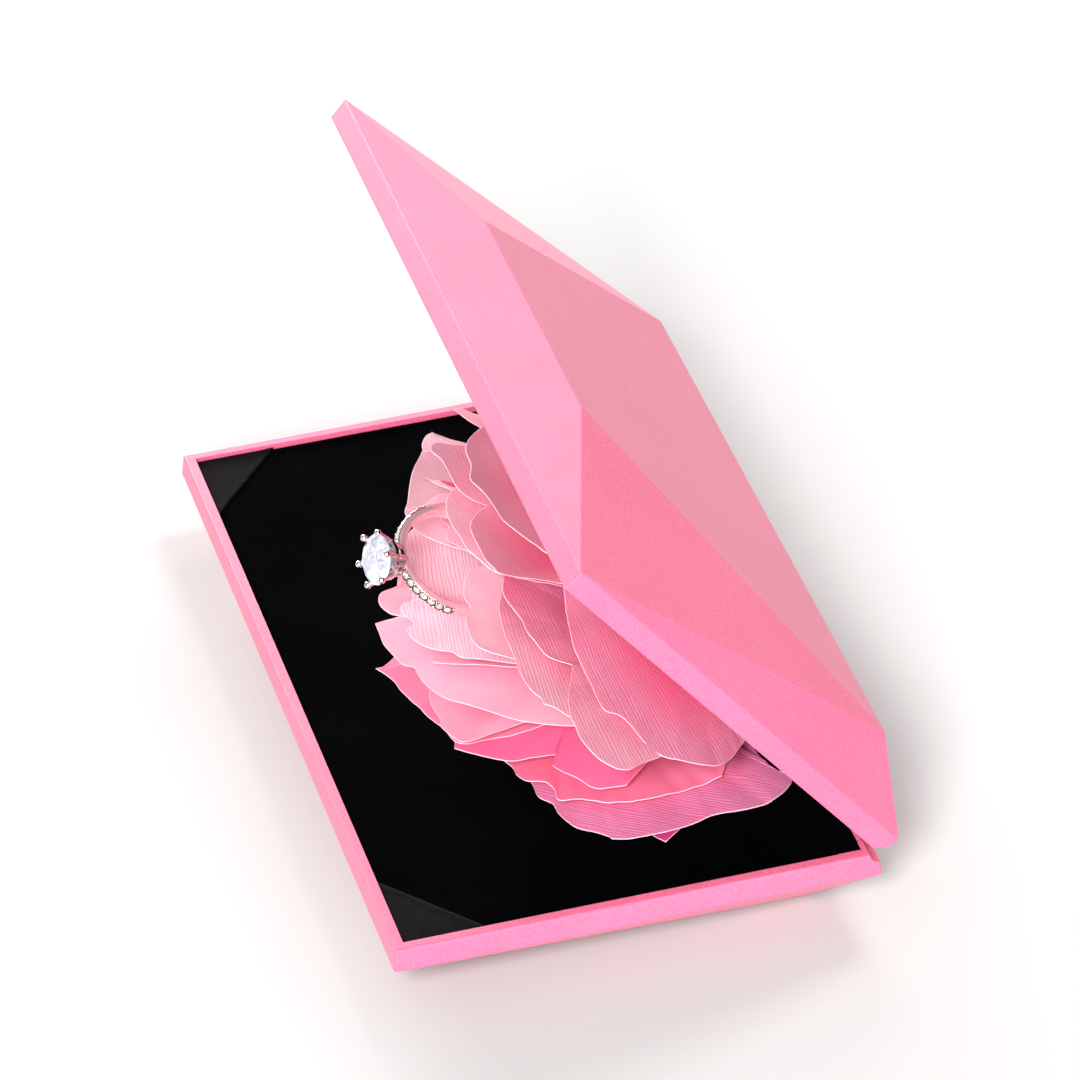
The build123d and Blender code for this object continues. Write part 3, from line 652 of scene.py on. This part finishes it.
def petal_mesh(name, rim, angle, seed, fall=0.0, ribs=0.0, ruffle=0.2, belly=0.0, shade_to=None):
    """A paper petal ruled from its root to its free edge, with what its material needs at each vertex."""
    edge = rim_curve(rim)
    root_ends = [edge[0].lerp(edge[-1], share) for share in ROOT_SHARE]
    lengths = [0.0]
    for a, b in zip(edge, edge[1:]):
        lengths.append(lengths[-1] + (b - a).length)
    turn = radians(ribs)
    along, across = Vector((cos(turn), sin(turn))), Vector((-sin(turn), cos(turn)))
    bm = bmesh.new()
    edge_highlight = bm.verts.layers.float.new("edge_highlight")
    root_shade = bm.verts.layers.float.new("root_shade")
    in_shade = bm.verts.layers.float.new("in_shade")
    flat, columns = {}, []
    for place, run in zip(edge, lengths):
        root = root_ends[0].lerp(root_ends[1], run / lengths[-1])
        span = max((place - root).length, 1.0)
        body = 1 - CUT_EDGE / span
        column = []
        for t in [(k / ROWS) ** ROW_POWER * body for k in range(ROWS)] + [body, 1.0]:
            spot = root.lerp(place, t)
            lift = belly * 4 * t * (1 - t) * min(1.0, span / BELLY_SPAN)
            lift += ruffle * t * t * WAVE[0] * noise.noise(Vector((run / WAVE[1], t * 1.5, seed * 5.1)))
            lift += ruffle * t ** 4 * CRINKLE[0] * noise.noise(Vector((run / CRINKLE[1], t, seed * 9.7)))
            vert = bm.verts.new(fan_point(spot.x, spot.y, angle + fall * (spot.x - FALL_FROM), lift))
            # painted highlight on the cut edge
            vert[edge_highlight] = 1.0 if t > (1 + body) / 2 else 0.0
            # share of painted shade towards the root
            vert[root_shade] = min(1.0, (1 - t) * span / ROOT_RUN)
            if shade_to is not None:
                vert[in_shade] = min(1.0, max(0.0, (shade_to - spot.x) / SHADE_RUN))
            flat[vert] = (spot.dot(along), spot.dot(across) + seed * SEED_SHIFT)
            column.append(vert)
        columns.append(column)
    join_rows(bm, columns, flat)
    return finish_mesh(bm, name, smooth=True)


def blend_with_fan(piece, angle):
    """Work out a sheet's share of the lid's turn from its fan angle; the share is not used, and the sheet is
    only baked where it stands.
    """
    share = min(BODY_SHARES[1], max(BODY_SHARES[0], 0.5 + radians(angle) / LID_OPEN))
    step = share
    for _ in range(30):  # Newton's steps to where the smooth blend gives that share
        step -= (step * step * (3 - 2 * step) - share) / max(6 * step * (1 - step), 0.2)
    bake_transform(piece)


def make_petals():
    """Every petal stands for the CAD node of its name; those with none are small folds beside others."""
    papers = {}
    for seed, (name, petal) in enumerate(PETALS.items()):
        shape = dict(petal)
        # a petal's look: its ribs, its tone, partly painted light and shade, and its share of painted lid
        # shadow
        look = (shape.pop("ribbed", 0), shape.pop("tone", 0.3), shape.pop("shadow_share", 0.0))
        if look not in papers:
            papers[look] = petal_material(f"crepe_paper_{len(papers)}", *look)
        stands_for = [name] if name in frame["nodes"] else []
        mesh = petal_mesh(name, seed=seed, **shape)
        piece = add_piece(name + "_paper", mesh, papers[look], "petal_paper", *stands_for)
        thicken(piece, PAPER)
        blend_with_fan(piece, petal["angle"])


# ---- liners and corner tabs ---------------------------------------------------------------------
LINER_HALF_WIDTH = 73.1
POCKET = (6.5, 78.6)  # reach of the cloth in the pocket
STRIP = (2.4, 6.25)  # reach of the strip of cloth glued over the hinge leaf
LINER_DEPTH = 0.8  # the pocket's cloth below the rim
LINER_SAG = 0.05  # its middle lower still
LINER_UNEVEN, UNEVEN_LENGTH = 0.04, 11  # height and length of its slight waves
LINER_CLOTH = 0.35  # thickness
STRIP_DEPTH = LINER_CLOTH / 2 - 0.03  # middle of the strip, its face just above the rim
TUCK, TUCK_WIDTH = 0.35, 1.0  # how far the cloth dips at its glued edge, and over what width
STRIP_ROWS, POCKET_ROWS, LINER_COLUMNS = 9, 61, 121
TAB_CORNER = (72.9, 78.4)  # x, reach of the tab's square corner
TAB_LEGS = (17.0, 13.7)
TAB_POINTS, TAB_HEM_ROWS = 25, 3
TAB_DEPTH = LINER_DEPTH - 0.12  # just above the liner
TAB_HEM, TAB_PUFF = 0.10, 0.125  # how far its folded hem and its middle stand up
RIBBON = 0.15  # thickness


def liner_depth(x, reach, side):
    """Depth of the cloth's middle below the rim."""
    if reach <= STRIP[1]:
        return STRIP_DEPTH
    edge = min(LINER_HALF_WIDTH - abs(x), POCKET[1] - reach)
    uneven = LINER_UNEVEN * noise.noise(Vector((x / UNEVEN_LENGTH, reach / UNEVEN_LENGTH, side * 9)))
    return LINER_DEPTH + LINER_SAG + uneven + TUCK * max(0.0, 1 - edge / TUCK_WIDTH) ** 2


def make_liners(cloth):
    """Black cloth stretched in each half and over its hinge leaf, tucked down round the pocket's edge."""
    for body, side in HALVES:
        bm = bmesh.new()
        rows, flat = [], {}
        for reach in steps(*STRIP, STRIP_ROWS) + steps(*POCKET, POCKET_ROWS):
            row = []
            for x in steps(-LINER_HALF_WIDTH, LINER_HALF_WIDTH, LINER_COLUMNS):
                depth = liner_depth(x, reach, side)
                vert = bm.verts.new(fan_point(x, reach, side * HALF_TURN, side * depth))
                flat[vert] = (x, reach if reach > STRIP[1] else reach - LINER_DEPTH)
                row.append(vert)
            rows.append(row)
        join_rows(bm, rows, flat)
        name = f"{body}_liner_cloth"
        piece = add_piece(name, finish_mesh(bm, name, smooth=True), cloth, "liner_black", f"{body}_liner")
        thicken(piece, LINER_CLOTH)
        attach(piece, body)


def make_tabs(ribbon):
    """Ribbon triangles across the front corners, with a folded hem along the long edge."""
    for body, side in HALVES:
        bm = bmesh.new()
        for end in (-1, 1):
            rows, flat = [], {}
            for u in steps(0, 1, TAB_POINTS):  # along the long edge
                row = []
                for k, v in enumerate(steps(0, 1, TAB_POINTS)):  # from the long edge to the corner
                    along, across = TAB_LEGS[0] * (1 - v) * u, TAB_LEGS[1] * (1 - v) * (1 - u)
                    depth = TAB_DEPTH - TAB_PUFF * sin(pi * u) * sin(pi * min(1.0, v * 1.2)) ** 0.7
                    if k < TAB_HEM_ROWS:
                        depth -= TAB_HEM
                    spot = (end * (TAB_CORNER[0] - along), TAB_CORNER[1] - across)
                    vert = bm.verts.new(fan_point(*spot, side * HALF_TURN, side * depth))
                    flat[vert] = (along + across, along - across)
                    row.append(vert)
                rows.append(row)
            join_rows(bm, rows, flat)
        bmesh.ops.remove_doubles(bm, verts=bm.verts, dist=0.00001)
        mesh = finish_mesh(bm, f"{body}_corner_ribbon", smooth=True)
        piece = add_piece(f"{body}_corner_ribbons", mesh, ribbon, "tab_charcoal", f"{body}_corner_tabs")
        thicken(piece, RIBBON)
        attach(piece, body)


# ---- ring ---------------------------------------------------------------------------------------
RING_PLACE = (8.0, 58.0)  # x, reach of the finger hole's centre
RING_TWIST, RING_LEAN = -25.6, -12.0  # degrees
BAND_OUTER = 10.15  # radius
STONE_RADIUS, GIRDLE_HEIGHT, CROWN, PAVILION, BELT = 4.3, 14.3, 1.45, 3.6, 0.12
TABLE_SHARE, STAR_SHARE, LOWER_SHARE = 0.55, 0.77, 0.22  # of the stone's radius
FACET = 22.5  # degrees, half the turn from one main facet to the next
PAVE_FIRST, PAVE_STEP, PAVE_COUNT = 17.0, 8.7, 7  # degrees from the head
PAVE_LAST = PAVE_FIRST + PAVE_STEP * (PAVE_COUNT - 0.4)  # end of the setting
PAVE_RADIUS, PAVE_SEAT, PAVE_CROWN, PAVE_PAVILION, PAVE_BELT = 0.73, 10.08, 0.30, 0.42, 0.04
BEAD_RADIUS, BEAD_SIDE, BEAD_LIFT = 0.19, 0.66, 0.10
WIRE_RADIUS, WIRE_SIDE, WIRE_SINK, WIRE_FIRST = 0.10, 0.92, 0.02, 14  # raised edges beside the small stones
# the channels are dark strips of painted shade and painted reflection between the small stones
CHANNEL_SIDES, CHANNEL_LIFT, CHANNEL_FIRST = (-0.86, -0.3, 0.3, 0.86), 0.03, 12
CHANNEL_THICK = 0.05
ARM_SIDE, ARM_RADII = 0.7, (0.26, 0.20)
ARM_FOOT, ARM_KNEE = (15, -0.2), (13, 0.8)  # degrees from the head, height over the band
ARM_TOP = (2.805, 12.3, 0.84)  # to the side of the head, from the ring's centre, along the finger


def ring_matrix():
    """Ring frame: x along the hoop's width in the fan, y out through the head, z along the finger."""
    out = fan_axes(0)[0]
    along = Matrix.Rotation(radians(RING_TWIST), 3, out) @ ALONG
    finger = along.cross(out)
    x = Matrix.Rotation(radians(RING_LEAN), 3, finger) @ along
    y = finger.cross(x)
    turn = Matrix((x, y, finger)).transposed().to_4x4()
    return Matrix.Translation(fan_point(*RING_PLACE, 0)) @ turn @ Matrix.Scale(MM, 4)


def around(angle, radius, height=0.0):
    """A point in the ring's plane at an angle from the head, and height along the finger."""
    return Vector((sin(radians(angle)) * radius, cos(radians(angle)) * radius, height))


def outward_matrix(angle, radius):
    """Frame with z pointing out of the band at an angle from the head."""
    out = around(angle, 1.0)
    side = Vector((0, 0, 1))
    turn = Matrix((side, out.cross(side), out)).transposed().to_4x4()
    return Matrix.Translation(out * radius) @ turn


def add_brilliant(bm, place, radius, crown, pavilion, belt):
    """Round brilliant: table, 8 stars, 8 kites, 16 upper, 8 main and 16 lower facets."""
    crown_slope = (crown - belt) / (radius * (1 - TABLE_SHARE))
    pavilion_slope = (pavilion - belt) / radius

    def point(turn, share, slope, sign):
        reach = radius * share
        fall = 0 if share == 1 else radius - reach * cos(radians(FACET * (turn % 2)))
        angle, height = radians(FACET * turn), sign * (belt + fall * slope)
        return bm.verts.new(place @ Vector((cos(angle) * reach, sin(angle) * reach, height)))

    table = [point(2 * k, TABLE_SHARE, crown_slope, 1) for k in range(8)]
    star = [point(2 * k + 1, STAR_SHARE, crown_slope, 1) for k in range(8)]
    upper = [point(k, 1, crown_slope, 1) for k in range(16)]
    lower = [point(k, 1, pavilion_slope, -1) for k in range(16)]
    deep = [point(2 * k + 1, LOWER_SHARE, pavilion_slope, -1) for k in range(8)]
    culet = bm.verts.new(place @ Vector((0, 0, -pavilion)))
    bm.faces.new(table)
    for k in range(8):
        after, g = (k + 1) % 8, 2 * k
        bm.faces.new((table[k], star[k], table[after]))
        bm.faces.new((table[k], star[k - 1], upper[g], star[k]))
        bm.faces.new((star[k], upper[g], upper[g + 1]))
        bm.faces.new((star[k], upper[g + 1], upper[(g + 2) % 16]))
        bm.faces.new((lower[g], deep[k - 1], culet, deep[k]))
        bm.faces.new((deep[k], lower[g + 1], lower[g]))
        bm.faces.new((deep[k], lower[(g + 2) % 16], lower[g + 1]))
    for k in range(16):
        after = (k + 1) % 16
        bm.faces.new((upper[k], lower[k], lower[after], upper[after]))


def add_tube(bm, points, radii, place, sides=10):
    """A round tube through points, with a radius at each."""
    rings = []
    for k, (point, radius) in enumerate(zip(points, radii)):
        ahead = points[min(k + 1, len(points) - 1)] - points[max(k - 1, 0)]
        turn = ahead.to_track_quat("Z", "X").to_matrix()
        rings.append([bm.verts.new(place @ (point + turn @ Vector((cos(a) * radius, sin(a) * radius, 0))))
                      for a in [2 * pi * n / sides for n in range(sides)]])
    for low, high in zip(rings, rings[1:]):
        for n in range(sides):
            after = (n + 1) % sides
            bm.faces.new((low[n], low[after], high[after], high[n]))
    bm.faces.new(rings[0])
    bm.faces.new(rings[-1])


def stone_meshes(place):
    """The main stone, and the small ones on both shoulders."""
    main = bmesh.new()
    add_brilliant(main, place @ outward_matrix(0, GIRDLE_HEIGHT), STONE_RADIUS, CROWN, PAVILION, BELT)
    small = bmesh.new()
    for side in (-1, 1):
        for k in range(PAVE_COUNT):
            seat = place @ outward_matrix(side * (PAVE_FIRST + PAVE_STEP * k), PAVE_SEAT)
            add_brilliant(small, seat, PAVE_RADIUS, PAVE_CROWN, PAVE_PAVILION, PAVE_BELT)
    return finish_mesh(main, "ring_brilliant"), finish_mesh(small, "ring_pave")


def trim_mesh(place):
    """Beads that hold the small stones, raised edges beside them, and arms from the shoulders to the head."""
    bm = bmesh.new()
    for side in (-1, 1):
        for k in range(PAVE_COUNT + 1):  # a pair of beads between neighbouring stones
            angle = side * (PAVE_FIRST + PAVE_STEP * (k - 0.5))
            for across in (-BEAD_SIDE, BEAD_SIDE):
                spot = place @ Matrix.Translation(around(angle, BAND_OUTER + BEAD_LIFT, across))
                bmesh.ops.create_icosphere(bm, subdivisions=2, radius=BEAD_RADIUS, matrix=spot)
        turns = steps(WIRE_FIRST, PAVE_LAST, 28)
        for across in (-WIRE_SIDE, WIRE_SIDE):
            run = [around(side * turn, BAND_OUTER - WIRE_SINK, across) for turn in turns]
            add_tube(bm, run, [WIRE_RADIUS] * len(run), place, 8)
        for across in (-ARM_SIDE, ARM_SIDE):
            foot = around(side * ARM_FOOT[0], BAND_OUTER + ARM_FOOT[1], across)
            knee = around(side * ARM_KNEE[0], BAND_OUTER + ARM_KNEE[1], across)
            top = Vector((side * ARM_TOP[0], ARM_TOP[1], ARM_TOP[2] if across > 0 else -ARM_TOP[2]))
            run = [foot * (1 - t) ** 2 + knee * 2 * t * (1 - t) + top * t * t for t in steps(0, 1, 9)]
            add_tube(bm, run, steps(*ARM_RADII, len(run)), place)
    return finish_mesh(bm, "ring_trim", smooth=True)


def channel_mesh(place, side, name):
    """A dark strip on the band between one shoulder's small stones: painted shade and painted reflection of
    the black liner.
    """
    bm = bmesh.new()
    rows, flat = [], {}
    for turn in steps(CHANNEL_FIRST, PAVE_LAST, 30):
        row = []
        for across in CHANNEL_SIDES:
            row.append(bm.verts.new(place @ around(side * turn, BAND_OUTER + CHANNEL_LIFT, across)))
            flat[row[-1]] = (BAND_OUTER * radians(turn), across)
        rows.append(row)
    join_rows(bm, rows, flat)
    return finish_mesh(bm, name, smooth=True)


def make_ring(gem, small_gem, metal, dark):
    """Cut stones in place of the CAD's plain ones, and the beads, edges, arms and channels that set them."""
    place = ring_matrix()
    main, small = stone_meshes(place)
    pieces = [add_piece("ring_brilliant", main, gem, "stone_clear", "ring_stone"),
              add_piece("ring_pave_brilliants", small, small_gem, "stone_clear", "ring_pave_stones"),
              add_piece("ring_beads_and_arms", trim_mesh(place), metal, "ring_metal")]
    for name, side in (("ring_channel_1", -1), ("ring_channel_2", 1)):
        channel = add_piece(name, channel_mesh(place, side, name), dark, "ring_metal")
        thicken(channel, CHANNEL_THICK)
        pieces.append(channel)
    for piece in pieces:
        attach(piece, "rose")


# ---- pad and folded struts ----------------------------------------------------------------------
PAD_MIDDLE, PAD_HALF = (7.0, 43.8), (6.2, 5.6, 2.1)  # x, reach; half sizes along x, reach and up
PAD_CUTS, PAD_SQUARENESS = 11, 6  # grid cuts along a side; 2 would round it to a ball
PAD_PULL, PAD_CROWN = 0.07, 0.16  # share that the sides pull in, and that the faces crown
SLIT_HALF, SLIT_DEPTH, SLIT_RADIUS, SLIT_FADE = 1.5, 1.6, 10.9, 1.2  # pressed in by the ring's band
STRUT_REACH, STRUT_X, STRUT_COLUMNS = 14.0, (-10.0, 24.0), 24
STRUT_PAPER = 0.25  # thickness
STRUT_OFF_LINER = 0.25
CARD_LIFT = 0.35  # strut's flap off the card's middle
FLAP, FLAP_BEND = 3.0, 0.4  # length of a glued flap, and where it leaves its crease
PLEAT = 1.4  # how far the strut's crease stands out of line
BELOW_CREASE, ABOVE_CREASE = (0.15, 0.5, 0.93), (0.07, 0.5, 0.85)  # shares of each half of the strut


def make_pad(velvet):
    """Crowned velvet block with a slit for the back of the band."""
    bm = bmesh.new()
    bmesh.ops.create_cube(bm, size=2)
    bmesh.ops.subdivide_edges(bm, edges=bm.edges, cuts=PAD_CUTS, use_grid_fill=True)
    to_ring = ring_matrix().inverted()
    for vert in bm.verts:
        p = vert.co.copy()
        middle = (1 - p.x * p.x) * (1 - p.y * p.y)
        size = sum(abs(value) ** PAD_SQUARENESS for value in p) ** (1 / PAD_SQUARENESS)
        p /= max(1.0, size)
        x = PAD_MIDDLE[0] + PAD_HALF[0] * p.x * (1 - PAD_PULL * middle)
        reach = PAD_MIDDLE[1] + PAD_HALF[1] * p.y * (1 - PAD_PULL * middle)
        spot = fan_point(x, reach, 0, PAD_HALF[2] * p.z * (1 + PAD_CROWN * middle))
        local = to_ring @ spot
        inside = min(1.0, max(0.0, SLIT_RADIUS - local.xy.length) / SLIT_FADE)
        pressed = max(0.0, 1 - abs(local.z) / SLIT_HALF) * inside
        vert.co = spot - fan_axes(0)[0] * (pressed * SLIT_DEPTH * MM)
    mesh = finish_mesh(bm, "ring_pad_velvet", smooth=True)
    piece = add_piece("ring_pad_velvet", mesh, velvet, "pad_velvet", "ring_pad")
    smooth = piece.modifiers.new("smooth", "SUBSURF")
    smooth.levels = smooth.render_levels = 1
    apply_modifiers(piece)
    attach(piece, "rose")


def make_struts(paper):
    """Creased paper strips, glued to the card and to a liner, built as they stand in the open case; in the
    real case they lift the rose as it opens.
    """
    turn = radians(HALF_TURN)
    rise = (STRUT_REACH * sin(turn) + LINER_DEPTH - STRUT_OFF_LINER) / cos(turn)
    card = fan_axes(0)[0] * MM
    for body, side in HALVES:
        lining = fan_axes(side * HALF_TURN)[0] * MM
        low = fan_point(0, STRUT_REACH, 0, side * CARD_LIFT)
        high = fan_point(0, STRUT_REACH, 0, side * rise)
        crease = low.lerp(high, 0.5) + card * PLEAT
        outline = [low + card * FLAP, low + card * FLAP_BEND]
        outline += [low.lerp(crease, t) for t in BELOW_CREASE]
        outline += [crease.lerp(high, t) for t in ABOVE_CREASE]
        outline += [high + lining * FLAP_BEND, high + lining * FLAP]
        bm = bmesh.new()
        rows, flat, run = [], {}, 0.0
        for k, spot in enumerate(outline):
            run += (spot - outline[k - 1]).length / MM if k else 0.0
            row = []
            for x in steps(*STRUT_X, STRUT_COLUMNS):
                row.append(bm.verts.new(spot + ALONG * (x * MM)))
                flat[row[-1]] = (x, run)
            rows.append(row)
        join_rows(bm, rows, flat)
        mesh = finish_mesh(bm, f"{body}_strut", smooth=True)
        piece = add_piece(f"{body}_folded_strut", mesh, paper, "gusset_paper", f"{body}_gusset")
        thicken(piece, STRUT_PAPER)
        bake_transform(piece)


# ---- CAD nodes that keep their shape ------------------------------------------------------------
def dress(material, *nodes):
    for node in nodes:
        slots = frame["nodes"][node].data.materials
        slots.clear()
        slots.append(material)


make_camera()
make_studio()
dress(shell_material(), "base_shell", "lid_shell", "base_hinge_leaf", "lid_hinge_leaf",
      "base_hinge_screws", "lid_hinge_screws")
steel = metal_material("hinge_steel", (0.62, 0.62, 0.63), roughness=0.3, brush=0.3)
dress(steel, "hinge_pin", "base_magnets", "lid_magnets")
# the band's gold is tinted pink: real gold with a painted reflection of the pink box
dress(metal_material("pink_reflection_gold", (0.90, 0.52, 0.57), roughness=0.22, metallic=0.6), "ring_shank")
white_gold = metal_material("white_gold", (0.84, 0.77, 0.76), roughness=0.16)
dress(white_gold, "ring_head")
dress(card_material(), "rose_carrier")
make_ring(
    # the stones' colours are painted reflections and glints, the small ones dark where they mirror the black
    # liner
    gem_material("cut_stone", (0.30, 0.35, 0.52), (1.0, 1.0, 1.0), pink_reflection=(0.95, 0.55, 0.70), fire=0.35),
    gem_material("small_stones", (0.10, 0.08, 0.07), (0.95, 0.90, 0.80), pink_reflection=(0.60, 0.40, 0.36), fire=0.5),
    # dark gold for the channels: painted shade and painted reflection of the black liner
    white_gold, metal_material("shadowed_gold", (0.10, 0.075, 0.07), roughness=0.35))
make_liners(liner_material())
make_tabs(ribbon_material())
make_pad(velvet_material())
make_struts(petal_material("strut_paper", ribbed=0, tone=0.7, shadow_share=0.0))
make_petals()
